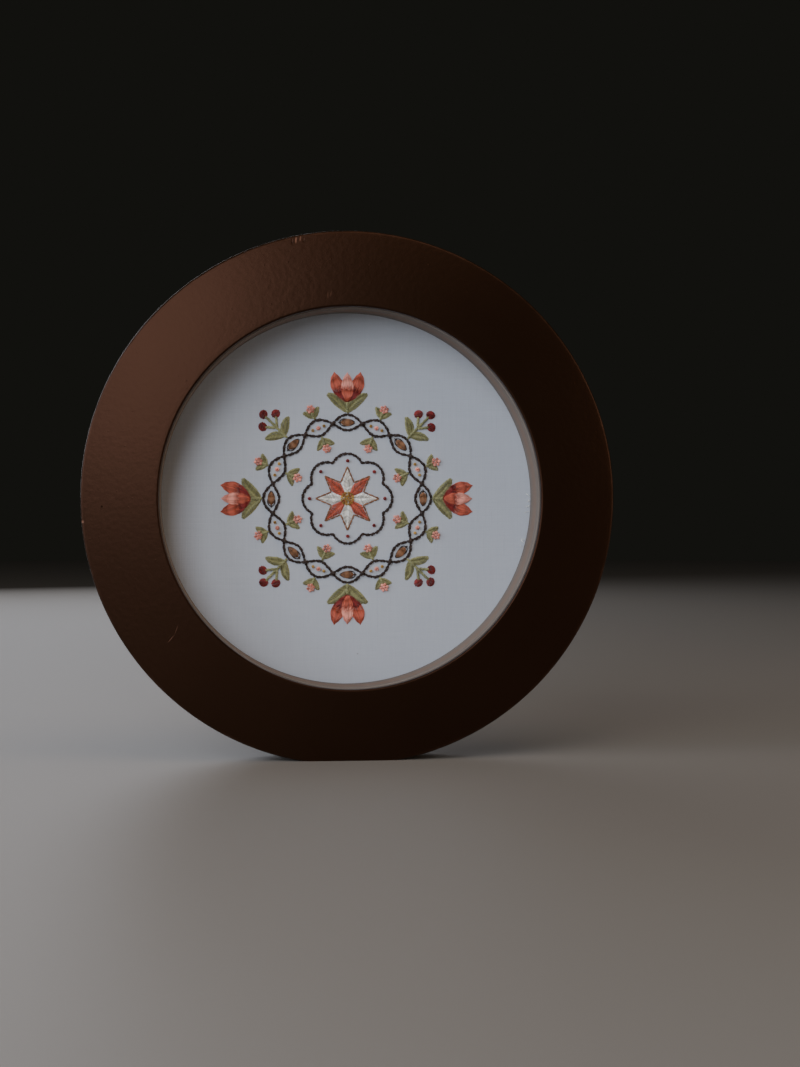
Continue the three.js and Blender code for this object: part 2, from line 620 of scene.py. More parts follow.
@dataclass(frozen=True)
class CottonFloss:
    """Mercerised cotton floss: saturated and softly shiny, each stitch a little lighter or darker."""

    floss: Floss
    spread: float = 0.3
    fibre_width: float = 0.12 * MM
    fibre_height: float = 0.03 * MM

    def material(self) -> bpy.types.Material:
        """Makes the finish.

        Returns:
            The material.
        """
        material, tree = new_material(f"cotton_floss_{self.floss.name.lower()}")
        place = add_node(tree, "TexCoord").outputs["Object"]
        stitch = add_node(tree, "Attribute", attribute_name=SHADE_LAYER).outputs["Fac"]
        shades = {"Value": stitch, "To Min": 1 - self.spread, "To Max": 1 + self.spread}
        dyed = {"Value": add_node(tree, "MapRange", shades), "Color": linear(self.floss.tone)}
        fibres = add_node(tree, "TexNoise", {"Vector": place, "Scale": 1 / self.fibre_width})
        thread = {
            "Base Color": add_node(tree, "HueSaturation", dyed),
            "Roughness": 0.55,
            "IOR": 1.5,
            "Sheen Weight": 0.25,
            "Sheen Roughness": 0.4,
            "Normal": add_node(tree, "Bump", {"Height": fibres, "Distance": self.fibre_height}),
        }
        add_node(tree, "OutputMaterial", {"Surface": add_node(tree, "BsdfPrincipled", thread)})
        return material


@dataclass
class FrameRing:
    """The turned and lacquered wooden ring, with the flat that it stands on."""

    datum: Datum
    opening_radius: float = 78.3 * MM
    slope_at_lip: float = math.radians(9)
    slope_at_rim: float = math.radians(14)
    lip_thickness: float = 3 * MM
    lip_round: float = 0.8 * MM
    rim_round: float = 1.3 * MM
    back_chamfer: float = 1 * MM
    bore_radius: float = 81.1 * MM
    wear_inset: float = 0.5 * MM
    turns: int = 360
    face_steps: int = 18
    lip_steps: int = 10
    rim_steps: int = 8

    def outline(self) -> Outline:
        """Draws the ring's section.

        Returns:
            Its points, from the lip's underside over the face and round to the bore.
        """
        depth = self.datum.back - self.datum.front
        lip_centre = self.opening_radius + self.lip_round
        outer = self.datum.rim_radius
        face = self._face_points()
        rim_depth = face[-1][1] + self.rim_round * math.cos(self.slope_at_rim)
        lip_end = 3 * QUARTER_TURN + self.slope_at_lip
        rim_start = self.slope_at_rim - QUARTER_TURN
        return [
            (self.opening_radius, self.lip_thickness),
            *corner(lip_centre, self.lip_round, self.lip_round, HALF_TURN, lip_end, self.lip_steps),
            *face[1:-1],
            *corner(outer - self.rim_round, rim_depth, self.rim_round, rim_start, 0, self.rim_steps),
            (outer, depth - self.back_chamfer),
            (outer - self.back_chamfer, depth),
            (self.bore_radius, depth),
            (self.bore_radius, self.lip_thickness),
        ]

    def _face_points(self) -> Outline:
        """Draws the gently crowned face.

        Returns:
            Points from the end of the rounded lip to the start of the rounded rim.
        """
        lip, rim = math.tan(self.slope_at_lip), math.tan(self.slope_at_rim)
        bend = (rim - lip) / 2
        start = self.opening_radius + self.lip_round * (1 + math.sin(self.slope_at_lip))
        start_depth = self.lip_round * (1 - math.cos(self.slope_at_lip))
        width = self.datum.rim_radius - self.rim_round * (1 - math.sin(self.slope_at_rim)) - start
        shares = [i / self.face_steps for i in range(self.face_steps + 1)]
        return [(start + width * s, start_depth + width * (lip * s + bend * s * s)) for s in shares]

    def build(self, finish: SatinLacquer) -> bpy.types.Object:
        """Turns the ring, cuts its foot and dresses it.

        Args:
            finish: Its lacquer.

        Returns:
            The ring.
        """
        bm = spin_outline(self.outline(), self.turns, closed=True)
        bmesh.ops.transform(bm, matrix=self.datum.placement, verts=bm.verts)
        cut = bmesh.ops.bisect_plane(
            bm,
            geom=bm.verts[:] + bm.edges[:] + bm.faces[:],
            dist=MERGE_DISTANCE,
            plane_co=(0, 0, 0),
            plane_no=(0, 0, -1),
            clear_outer=True,
        )
        foot_edges = [part for part in cut["geom_cut"] if isinstance(part, bmesh.types.BMEdge)]
        bmesh.ops.holes_fill(bm, edges=foot_edges, sides=0)
        lacquer = finish.material(self.datum, self.datum.rim_radius - self.wear_inset)
        ring = finish_object("lacquered_ring", bm, lacquer)
        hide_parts("frame_ring")
        return ring


@dataclass
class SpacerRing:
    """The bare strip of wood, bent round inside the opening, that sets the cloth back."""

    datum: Datum
    thickness: float = 3 * MM
    front_edge: float = 0.4 * MM
    back_edge: float = 0.2 * MM
    turns: int = 300
    edge_steps: int = 4

    def build(self, finish: BareWood) -> bpy.types.Object:
        """Turns the strip and dresses it.

        Args:
            finish: Its wood.

        Returns:
            The strip.
        """
        low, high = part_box("spacer_ring")
        outer = (high.x - low.x) / 2
        inner = outer - self.thickness
        front, back = low.y - self.datum.front, high.y - self.datum.front
        back_centre = (inner + self.back_edge, back - self.back_edge)
        front_centre = (inner + self.front_edge, front + self.front_edge)
        outline = [
            *corner(*back_centre, self.back_edge, QUARTER_TURN, HALF_TURN, self.edge_steps),
            *corner(*front_centre, self.front_edge, HALF_TURN, 3 * QUARTER_TURN, self.edge_steps),
            (outer, front),
            (outer, back),
        ]
        bm = spin_outline(outline, self.turns, closed=True)
        bmesh.ops.transform(bm, matrix=self.datum.placement, verts=bm.verts)
        wood = finish.material(self.datum, inner, (low.y + high.y) / 2)
        strip = finish_object("bent_wood_strip", bm, wood)
        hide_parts("spacer_ring")
        return strip


@dataclass
class ClothPanel:
    """The disc of cotton, stretched flat behind the spacer."""

    datum: Datum
    thickness: float = 0.5 * MM
    ripple_height: float = 0.09 * MM
    ripple_width: float = 16 * MM
    edge_hold: int = 6  # power by which the ripples die out towards the edge
    rings: int = 96
    turns: int = 240

    def __post_init__(self) -> None:
        """Reads the cloth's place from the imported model."""
        low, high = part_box("cloth_panel")
        self.radius = (high.x - low.x) / 2
        self.face = low.y

    def lift(self, across: float, up: float) -> float:
        """Gives how far the cloth stands towards the viewer, from the unevenness of its tension."""
        held = min(1.0, math.hypot(across, up) / self.radius) ** self.edge_hold
        return self.ripple_height * noise.noise(Vector((across, up, 0)) / self.ripple_width) * (1 - held)

    def build(self, finish: PlainCotton) -> bpy.types.Object:
        """Lays the cloth and dresses it.

        Args:
            finish: Its cotton.

        Returns:
            The cloth.
        """
        outline = [(self.radius * i / self.rings, 0.0) for i in range(self.rings + 1)]
        outline += [(self.radius, self.thickness), (0.0, self.thickness)]
        bm = spin_outline(outline, self.turns, closed=False)
        for vert in bm.verts:
            if vert.co.y < self.thickness / 2:
                vert.co.y -= self.lift(vert.co.x, vert.co.z)
        shift = Matrix.Translation((0, self.face, self.datum.centre_height))
        bmesh.ops.transform(bm, matrix=shift, verts=bm.verts)
        cloth = finish_object("stretched_cotton", bm, finish.material(self.datum))
        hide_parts("cloth_panel")
        return cloth

    def point(self, place: Vector) -> Vector:
        """Turns (right, up, out) from the cloth's centre into the part's own axes."""
        out = place.z + self.lift(place.x, place.y)
        return Vector((place.x, self.face - out, self.datum.centre_height + place.y))


@dataclass(frozen=True)
class Strand:
    """A straight length of floss, whose plies turn round each other."""

    plies: int
    half_turns: int
    steps: int
    sides: int

    def mesh(self) -> bpy.types.Mesh:
        """Spins the plies.

        Returns:
            The strand, along X, of length 1 and radius 1.
        """
        bm = bmesh.new()
        offset = 1 / (1 + math.sin(math.pi / self.plies)) if self.plies > 1 else 0.0
        travel = {"cent": (0, 0, 0), "axis": (1, 0, 0), "dvec": (1 / self.steps, 0, 0)}
        for i in range(self.plies):
            ring = bmesh.ops.create_circle(bm, segments=self.sides, radius=1 - offset)["verts"]
            turn = Matrix.Rotation(FULL_TURN * i / self.plies, 4, "X")
            place = turn @ Matrix.Translation((0, offset, 0)) @ Matrix.Rotation(QUARTER_TURN, 4, "Y")
            bmesh.ops.transform(bm, matrix=place, verts=ring)
            geom = ring + list({edge for vert in ring for edge in vert.link_edges})
            bmesh.ops.spin(bm, geom=geom, angle=self.half_turns * math.pi, steps=self.steps, **travel)
        bmesh.ops.holes_fill(bm, edges=[edge for edge in bm.edges if edge.is_boundary], sides=0)
        bmesh.ops.recalc_face_normals(bm, faces=bm.faces)
        mesh = bpy.data.meshes.new("strand")
        bm.to_mesh(mesh)
        bm.free()
        return mesh


@dataclass(frozen=True)
class Lie:
    """How a kind of stitch lies on the cloth. Heights and widths are shares of the thread's width."""

    plies: int = 2
    steps: int = 6
    sides: int = 4
    flat: float = 0.8  # height of the thread
    taper: float = 0.3  # how much thinner its ends are
    dive: float = 0.22  # how deep its ends go
    rise: float = 0.30  # how high its middle lies
    swell: float = 0.45  # power by which it rises from its ends
    ease: float = 0.5  # power by which it fills out and climbs what it lies on

    def height(self, t: float, thickness: float, pile: float) -> float:
        """Gives the height of a thread's middle over the cloth, at a share of its length."""
        arch = max(0.0, math.sin(math.pi * t))
        return thickness * ((self.dive + self.rise) * arch**self.swell - self.dive) + pile * arch**self.ease

    def fullness(self, t: float) -> float:
        """Gives the thread's width at a share of its length, as a share of its full width."""
        return 1 - self.taper * (1 - math.sin(math.pi * t) ** self.ease)


PACKING = 0.72  # spacing of filling threads, as a share of their width
FILLING = Lie()
SATIN = Lie(steps=8)
ROPED = Lie(plies=3, steps=8, sides=5, taper=0.34, dive=0.12, rise=0.36)
LOOPED = Lie(steps=26, taper=0.12)
WOUND = Lie(steps=26, sides=5, flat=1.0, taper=0.2)


def polar(radius: float, angle: float) -> Vector:
    """Gives the point at a distance and an angle from the middle, anticlockwise from the right."""
    return Vector((radius * math.cos(angle), radius * math.sin(angle)))


def straight(start: Vector, end: Vector) -> Curve:
    """Draws a straight line, for 0 to 1 along it."""
    return lambda t: start.lerp(end, t)


def bowed(start: Vector, pull: Vector, end: Vector) -> Curve:
    """Draws a line that bows towards a point, for 0 to 1 along it."""
    return lambda t: start * (1 - t) ** 2 + pull * 2 * t * (1 - t) + end * t**2


def rough_length(curve: Curve) -> float:
    """Measures a line by the chords of its two halves."""
    return (curve(0.5) - curve(0.0)).length + (curve(1.0) - curve(0.5)).length


@dataclass
class Skein:
    """Floss of one colour, with every stitch that is sewn with it."""

    floss: Floss
    cloth: ClothPanel
    dice: random.Random
    twist_pitch: float = 5 * MM
    look_ahead: float = 0.02
    crease: float = 80.0
    bm: bmesh.types.BMesh = field(default_factory=bmesh.new)
    strands: dict[Strand, bpy.types.Mesh] = field(default_factory=dict)

    def lay(self, path: Curve, length: float, thickness: float, lie: Lie) -> None:
        """Lays one thread along a path over the cloth.

        Args:
            path: Place of the thread's middle as (right, up, out), for 0 to 1 along it.
            length: Length of the path.
            thickness: Width of the thread.
            lie: How it lies.
        """
        half_turns = min(round(2 * length / self.twist_pitch), lie.steps // STEPS_IN_HALF_TURN)
        strand = Strand(lie.plies, max(1, half_turns), lie.steps, lie.sides)
        if strand not in self.strands:
            self.strands[strand] = strand.mesh()
        first_vert, first_face = len(self.bm.verts), len(self.bm.faces)
        self.bm.from_mesh(self.strands[strand])
        self.bm.verts.ensure_lookup_table()
        self.bm.faces.ensure_lookup_table()
        layers = self.bm.faces.layers.float
        shade = layers.get(SHADE_LAYER) or layers.new(SHADE_LAYER)
        tone = self.dice.random()
        for face in self.bm.faces[first_face:]:
            face[shade] = tone
        stations = [self._station(path, k / lie.steps, lie) for k in range(lie.steps + 1)]
        for vert in self.bm.verts[first_vert:]:
            here, side, fullness = stations[min(lie.steps, max(0, round(vert.co.x * lie.steps)))]
            reach = thickness / 2 * fullness
            place = here + side * vert.co.y * reach + Vector((0, 0, vert.co.z * reach * lie.flat))
            vert.co = self.cloth.point(place)

    def _station(self, path: Curve, t: float, lie: Lie) -> tuple[Vector, Vector, float]:
        """Gives a thread's middle, the unit vector to its side along the cloth, and its fullness."""
        ahead = path(min(1.0, t + self.look_ahead)) - path(max(0.0, t - self.look_ahead))
        return path(t), Vector((-ahead.y, ahead.x, 0)).normalized(), lie.fullness(t)

    def sew(self, curve: Curve, thickness: float, lie: Lie = FILLING, pile: float = 0.0) -> None:
        """Sews one stitch along a curve of (right, up), over a pile. Its ends go into the cloth."""
        length = rough_length(curve)
        self.lay(lambda t: Vector((*curve(t), lie.height(t, thickness, pile))), length, thickness, lie)

    def jitter(self, size: float) -> Vector:
        """Gives a small chance offset, as a hand does."""
        return Vector((self.dice.uniform(-size, size), self.dice.uniform(-size, size)))

    def finish(self) -> bpy.types.Object:
        """Turns all the stitches into one object.

        Returns:
            The piece.
        """
        for mesh in self.strands.values():
            bpy.data.meshes.remove(mesh)
        thread = CottonFloss(self.floss).material()
        return finish_object(self.floss.piece, self.bm, thread, self.crease)


@dataclass(frozen=True)
class Spot:
    """A place on the cloth and a direction, from which a motif is measured."""

    foot: Vector
    angle: float

    def at(self, along: float, side: float = 0.0) -> Vector:
        """Gives the point at a distance along the direction and to its left."""
        return self.foot + polar(along, self.angle) + polar(side, self.angle + QUARTER_TURN)

    def turned(self, along: float, turn: float) -> Spot:
        """Gives the spot further along, turned to the left by so many degrees."""
        return Spot(self.at(along), self.angle + math.radians(turn))


@dataclass(frozen=True)
class Row:
    """One row of threads in a filled shape: its floss and the share of the shape's length that it covers."""

    floss: Floss
    start: float
    end: float


@dataclass(frozen=True)
class Winding:
    """How the thread of a French knot is wound, as shares of its own width unless a comment says otherwise."""

    thread: float = 0.46  # width of the thread, as a share of the knot's
    length: float = 3.4  # its length, in widths of the knot
    turns: float = 2.3
    narrowing: float = 0.42  # share by which the coil narrows as it climbs
    base: float = 0.2  # height of its start
    climb: float = 1.25  # how far it climbs
    top: float = 0.75  # share of its length at which it is up
    tuck: float = 0.8  # share at which its end starts to be drawn down in the middle
    tuck_length: float = 0.2  # share of its length that is drawn down
    drawn_in: float = 0.9  # share by which the coil closes there
    drawn_down: float = 0.6
    tilt: tuple[float, float] = (0.15, 0.35)  # least and greatest lean

    def place(self, t: float, size: float) -> tuple[float, float]:
        """Works out the place of the thread's middle.

        Args:
            t: Share of its length.
            size: Width of the knot.

        Returns:
            Its distance from the knot's middle and its height over the cloth.
        """
        thick = self.thread * size
        tucked = max(0.0, (t - self.tuck) / self.tuck_length)
        radius = (size - thick) / 2 * (1 - self.narrowing * t) * (1 - self.drawn_in * tucked)
        climbed = thick * (self.base + self.climb * min(1.0, t / self.top))
        return radius, climbed - self.drawn_down * thick * tucked


@dataclass
class Needle:
    """Sews every kind of stitch, with the skein of a colour."""

    skeins: dict[Floss, Skein]
    dice: random.Random
    line_width: float = 1.35 * MM
    fine_line_width: float = 0.75 * MM
    stem_width: float = 1.15 * MM
    fill_width: float = 0.6 * MM
    slip: float = 0.1 * MM  # how far a stitch may stray
    line_uneven: tuple[float, float] = (0.93, 1.07)  # bounds of a line's width, as shares of it
    fill_uneven: tuple[float, float] = (0.95, 1.15)  # the same for filling
    over_lift: float = 0.75  # how high a stitch passes over another line, as a share of its width
    stem_reach: tuple[float, float] = (-0.35, 1.35)  # ends of a stem stitch, in steps of its line
    tip_stitch: float = 0.66  # share of a leaf's spine at which its first stitch ends
    first_pair: float = 0.7  # how far below the tip the first slanted pair starts, in threads
    slant: float = 1.5 * MM  # how far a leaf's threads run back along its spine
    slant_bow: float = 0.6  # how far they bow, as a share of the half width
    spine_look: float = 0.05  # share of the spine over which its direction is taken
    crossing: float = 0.3 * MM  # how far the threads of a leaf pass over its spine
    leaf_span: tuple[float, float] = (0.08, 0.88)  # part of half a wave that gives a leaf its outline
    leaf_fullness: float = 0.8
    tip_fall: float = 0.12  # how much sooner the side threads of a tip end
    tip_power: float = 1.5
    ragged: float = 0.16  # how unevenly a row starts and ends inside a shape
    fill_dome: float = 0.3 * MM
    berry_dome: float = 0.5 * MM
    loop_flare: tuple[float, float] = (0.45, 0.55)  # a loop's width at its foot, and what it gains
    loop_ends: int = 12  # its ends rise within one part in so many of its length
    loop_rise: float = 0.75
    loop_length: float = 2.3  # length of its thread, in lengths of the loop
    tie_reach: float = 1.2  # how far the stitch that holds it goes, in widths of the thread
    tie_rise: float = 0.5
    seed_dome: float = 0.3 * MM
    seed_gap: float = 0.2 * MM  # between a seed's ends and its loop
    seed_flare: float = 0.9 * MM  # how much wider the loop is than the seed
    winding: Winding = Winding()
    knot_rings: tuple[float, float] = (0.86, 0.8)  # first ring of a patch and the next ones, in knots
    knot_spacing: float = 0.85

    def _threads(self, width: float, fewest: int = 3) -> int:
        """Gives the number of threads that fill a width."""
        return max(fewest, round(width / (PACKING * self.fill_width)))

    def back_stitch(
        self, floss: Floss, curve: Curve, count: int, width: float, over: Sequence[int] = ()
    ) -> None:
        """Sews a line of stitches end to end.

        Args:
            floss: Its floss.
            curve: The line, for 0 to 1 along it.
            count: Number of stitches.
            width: Width of the thread.
            over: Numbers of the stitches that pass over another line.
        """
        skein = self.skeins[floss]
        meets = [curve(i / count) + skein.jitter(self.slip) for i in range(count)]
        meets.append(meets[0] if (curve(1.0) - curve(0.0)).length < self.slip else curve(1.0))
        for i in range(count):
            middle = curve((i + 0.5) / count)
            pull = middle * 2 - (meets[i] + meets[i + 1]) / 2
            lift = self.over_lift * width if i in over else 0.0
            thickness = width * self.dice.uniform(*self.line_uneven)
            skein.sew(bowed(meets[i], pull, meets[i + 1]), thickness, ROPED, lift)

    def stem_stitch(self, curve: Curve, count: int) -> None:
        """Sews a rope-like line of overlapping, slightly slanted stitches.

        Args:
            curve: The line, for 0 to 1 along it.
            count: Number of stitches.
        """
        skein = self.skeins[Floss.OLIVE]
        first, last = self.stem_reach
        for i in range(count):
            start, end = curve(max(0.0, (i + first) / count)), curve(min(1.0, (i + last) / count))
            side = (end - start).orthogonal().normalized() * 2 * self.slip
            skein.sew(straight(start - side, end + side), self.stem_width, ROPED, self.slip)

    def fishbone(self, floss: Floss, spine: Curve, half_width: Callable[[float], float]) -> None:
        """Fills a shape with slanted threads that meet on its spine, from the tip down.

        Args:
            floss: Its floss.
            spine: Middle line, for 0 at the base to 1 at the tip.
            half_width: Half the shape's width there.
        """
        skein = self.skeins[floss]
        length = rough_length(spine)
        count = self._threads(length, fewest=4)
        look = self.spine_look
        skein.sew(straight(spine(1.0), spine(self.tip_stitch)), self.fill_width)
        for i in range(count):
            t = 1 - (i + self.first_pair) / count
            foot = max(0.0, t - self.slant / length)
            ahead = (spine(min(1.0, t + look)) - spine(max(0.0, t - look))).normalized()
            for hand in (1, -1):
                side = Vector((-ahead.y, ahead.x)) * hand
                edge = spine(t) + side * half_width(t) + skein.jitter(self.slip)
                pull = spine((t + foot) / 2) + side * half_width(t) * self.slant_bow
                skein.sew(bowed(edge, pull, spine(foot) - side * self.crossing), self.fill_width)

    def leaf(self, spot: Spot, length: float, width: float, bend: float) -> None:
        """Sews a pointed leaf.

        Args:
            spot: Its foot and direction.
            length: Its length.
            width: Its width.
            bend: How far its middle bows to the left.
        """
        spine = bowed(spot.foot, spot.at(length / 2, 2 * bend), spot.at(length))
        self.fishbone(Floss.SAGE, spine, lambda t: width / 2 * self._leaf_share(t))

    def _leaf_share(self, t: float) -> float:
        """Gives a leaf's width at a share of its length, as a share of its greatest width."""
        start, share = self.leaf_span
        return max(0.0, math.sin(math.pi * (start + share * t))) ** self.leaf_fullness

    def fill(self, left: Curve, right: Curve, rows: Sequence[Row], pile: float = 0.0) -> None:
        """Fills a shape with rows of long threads side by side.

        Args:
            left: The shape's left edge, for 0 at its base to 1 at its tip.
            right: Its right edge.
            rows: Its rows of threads.
            pile: Height of its middle over what it lies on.
        """
        threads = self._threads((left(0.5) - right(0.5)).length)
        for row in rows:
            for i in range(threads):
                across = (i + 0.5) / threads
                off_middle = abs(2 * across - 1)
                at_tip = row.end == 1
                fall = self.tip_fall * off_middle**self.tip_power if at_tip else self._ragged_end()
                end = row.end - fall
                start = row.start + (self._ragged_end() if row.start > 0 else 0.0)

                def curve(t: float, start: float = start, end: float = end, across: float = across) -> Vector:
                    """Gives the place on the thread, for 0 to 1 along it."""
                    at = start + (end - start) * t
                    return left(at).lerp(right(at), across)

                lift = pile + self.fill_dome * (1 - off_middle)
                width = self.fill_width * self.dice.uniform(*self.fill_uneven)
                self.skeins[row.floss].sew(curve, width, SATIN, lift)

    def _ragged_end(self) -> float:
        """Gives a chance share of a shape's length by which a thread is short."""
        return self.dice.uniform(0, self.ragged)

    def disc(self, floss: Floss, middle: Spot, radius: float) -> None:
        """Sews a round, domed patch of satin stitch.

        Args:
            floss: Its floss.
            middle: Its middle, and the direction of its threads.
            radius: Its radius.
        """
        threads = self._threads(2 * radius)
        for i in range(threads):
            side = (2 * (i + 0.5) / threads - 1) * radius
            half = math.sqrt(radius**2 - side**2)
            lift = self.berry_dome * (1 - (side / radius) ** 2)
            line = straight(middle.at(-half, side), middle.at(half, side))
            self.skeins[floss].sew(line, self.fill_width, pile=lift)

    def loop(self, floss: Floss, spot: Spot, length: float, width: float, thick: float) -> None:
        """Sews a detached chain: a drop-shaped loop, held down at its far end.

        Args:
            floss: Its floss.
            spot: Where the loop starts and ends, and where it points.
            length: Its length.
            width: Its width.
            thick: Width of the thread.
        """
        foot, gain = self.loop_flare

        def path(t: float) -> Vector:
            """Works out where the thread's middle lies.

            Args:
                t: Share of its length.

            Returns:
                The place as (right, up, out).
            """
            along = 0.5 - 0.5 * math.cos(FULL_TURN * t)
            out = math.sin(FULL_TURN * t) * (foot + gain * along) * width / 2
            ends = min(1.0, self.loop_ends * t, self.loop_ends * (1 - t))
            return Vector((*spot.at(along * length, out), thick * (self.loop_rise * ends - LOOPED.dive)))

        skein = self.skeins[floss]
        skein.lay(path, self.loop_length * length, thick, LOOPED)
        tie = straight(spot.at(length - thick), spot.at(length + self.tie_reach * thick))
        skein.sew(tie, thick, pile=self.tie_rise * thick)

    def seed(self, spot: Spot, length: float, width: float) -> None:
        """Sews a plump tan seed with a dark loop round it.

        Args:
            spot: Its middle and direction.
            length: Its length.
            width: Its width.
        """
        foot, tip = spot.at(-length / 2), spot.at(length / 2)
        left, right = (bowed(foot, spot.at(0, side), tip) for side in (width, -width))
        self.fill(left, right, (Row(Floss.TAN, 0.0, 1.0),), self.seed_dome)
        outline = Spot(spot.at(-length / 2 - self.seed_gap), spot.angle)
        size = (length + 2 * self.seed_gap, width + self.seed_flare)
        self.loop(Floss.BARK, outline, *size, self.fill_width)

    def knot(self, floss: Floss, at: Vector, size: float) -> None:
        """Sews a French knot: a thread wound twice round itself and drawn down in its middle.

        Args:
            floss: Its floss.
            at: Where it sits.
            size: Its width.
        """
        winding = self.winding
        thick = winding.thread * size
        start = self.dice.uniform(0, FULL_TURN)
        tilt = self.dice.uniform(*winding.tilt) * thick

        def path(t: float) -> Vector:
            """Works out where the thread's middle lies.

            Args:
                t: Share of its length.

            Returns:
                The place as (right, up, out).
            """
            angle = start + winding.turns * FULL_TURN * t
            radius, height = winding.place(t, size)
            rise = height + tilt * math.sin(angle)
            return Vector((at.x + radius * math.cos(angle), at.y + radius * math.sin(angle), rise))

        self.skeins[floss].lay(path, winding.length * size, thick, WOUND)

    def knot_patch(self, floss: Floss, at: Vector, radius: float, size: float) -> None:
        """Fills a round patch with knots.

        Args:
            floss: Its floss.
            at: Its middle.
            radius: Its radius.
            size: Width of one knot.
        """
        self.knot(floss, at, size)
        first, step = self.knot_rings
        ring = size * first
        while ring < radius:
            count = int(FULL_TURN * ring / (self.knot_spacing * size))
            for i in range(count):
                # Each ring starts at another angle, so that its knots don't line up with the last
                self.knot(floss, at + polar(ring, FULL_TURN * i / count + ring / MM), size)
            ring += size * step


@dataclass
class EightPointStar:
    """The star in the middle: eight lozenges in two colours, outlined, with knots where they meet."""

    needle: Needle
    points: int = 8
    radius: float = 13.0 * MM
    hollow: float = 1.2 * MM  # radius within which the lozenges aren't filled
    inset: float = 0.15 * MM  # how far the filling stays inside a lozenge
    tip_gap: float = 0.4 * MM  # how far the outline lies outside the tips
    notch_gap: float = 0.3 * MM  # the same between two points
    side_stitches: int = 3
    heart: float = 2.6 * MM
    knot_size: float = 1.45 * MM

    def sew(self) -> None:
        """Sews the star."""
        step = FULL_TURN / self.points
        waist = self.radius / (2 * math.cos(step / 2))
        half = waist * math.sin(step / 2)

        def half_width(t: float) -> float:
            """Gives half a lozenge's width at a share of its length."""
            along = self.hollow + (self.radius - self.hollow) * t
            return half * min(along, self.radius - along) / (self.radius / 2) - self.inset

        for i in range(self.points):
            spot = Spot(Vector((0, 0)), QUARTER_TURN + step * i)
            ends = (self.hollow, (self.hollow + self.radius) / 2, self.radius)
            spine = bowed(*(spot.at(end) for end in ends))
            self.needle.fishbone(Floss.CORAL if i % 2 else Floss.CREAM, spine, half_width)
        for i in range(self.points):
            angle = QUARTER_TURN + step * i
            tip = polar(self.radius + self.tip_gap, angle)
            for hand in (-1, 1):
                side = straight(polar(waist + self.notch_gap, angle + hand * step / 2), tip)
                self.needle.back_stitch(Floss.TAN, side, self.side_stitches, self.needle.fine_line_width)
        self.needle.knot_patch(Floss.GOLD, Vector((0, 0)), self.heart, self.knot_size)


@dataclass
class ScallopedLine:
    """The dark scalloped line round the star, with a knot in each scallop."""

    needle: Needle
    scallops: int = 8
    radius: float = 17.6 * MM
    swing: float = 2.6 * MM
    stitches: int = 56
    knot_inset: float = 1.7 * MM
    knot_size: float = 1.8 * MM

    def sew(self) -> None:
        """Sews the line and its knots."""

        def line(t: float) -> Vector:
            """Gives the place on the line, for 0 to 1 round it."""
            wave = abs(math.cos(self.scallops / 2 * FULL_TURN * t))
            return polar(self.radius + self.swing * (wave - 0.5), FULL_TURN * t + QUARTER_TURN)

        self.needle.back_stitch(Floss.BARK, line, self.stitches, self.needle.line_width)
        for i in range(self.scallops):
            angle = FULL_TURN * i / self.scallops + QUARTER_TURN
            self.needle.knot(Floss.GARNET, polar(self.radius - self.knot_inset, angle), self.knot_size)


@dataclass
class CrossedVines:
    """Two dark vines that cross each other round the cloth, with seeds and knots in their eyes."""

    needle: Needle
    radius: float = 32.0 * MM
    swing: float = 3.3 * MM
    waves: int = 8
    stitches_per_eye: int = 5
    seed_length: float = 6.0 * MM
    seed_width: float = 3.0 * MM
    blush_knot: float = 2.2 * MM
    gold_knot: float = 1.6 * MM
    knot_spacing: float = 2.5 * MM

    def sew(self) -> None:
        """Sews both vines and fills their eyes."""
        eyes = 2 * self.waves
        count = eyes * self.stitches_per_eye
        middle = self.stitches_per_eye // 2
        for vine in (0, 1):
            hand = 1 - 2 * vine
            over = [self.stitches_per_eye * i + middle for i in range(eyes) if i % 2 == vine]

            def line(t: float, hand: int = hand) -> Vector:
                """Gives the place on the vine, for 0 to 1 round it."""
                wave = math.cos(self.waves * FULL_TURN * t)
                return polar(self.radius + hand * self.swing * wave, FULL_TURN * t + QUARTER_TURN)

            self.needle.back_stitch(Floss.BARK, line, count, self.needle.line_width, over)
        for i in range(eyes):
            angle = FULL_TURN * i / eyes + QUARTER_TURN
            eye = Spot(polar(self.radius, angle), angle + QUARTER_TURN)
            if i % 2:
                self.needle.knot(Floss.BLUSH, eye.foot, self.blush_knot)
                for side in (-self.knot_spacing, self.knot_spacing):
                    self.needle.knot(Floss.GOLD, eye.at(side), self.gold_knot)
            else:
                self.needle.seed(eye, self.seed_length, self.seed_width)


@dataclass
class LeafySprig:
    """A stem with a leaf on each side. The other plants are grown from it."""

    needle: Needle
    stem: float
    stem_stitches: int
    leaf_foot: float  # how far up the stem the leaves start
    leaf_turn: float  # degrees by which they lean away from it
    leaf_length: float
    leaf_width: float
    leaf_bend: float

    def sew(self, root: Spot) -> None:
        """Sews the stem and its leaves.

        Args:
            root: Foot and direction of the stem.
        """
        self.needle.stem_stitch(lambda t: root.at(self.stem * t), self.stem_stitches)
        for hand in (1, -1):
            leaf = root.turned(self.leaf_foot, hand * self.leaf_turn)
            self.needle.leaf(leaf, self.leaf_length, self.leaf_width, -hand * self.leaf_bend)


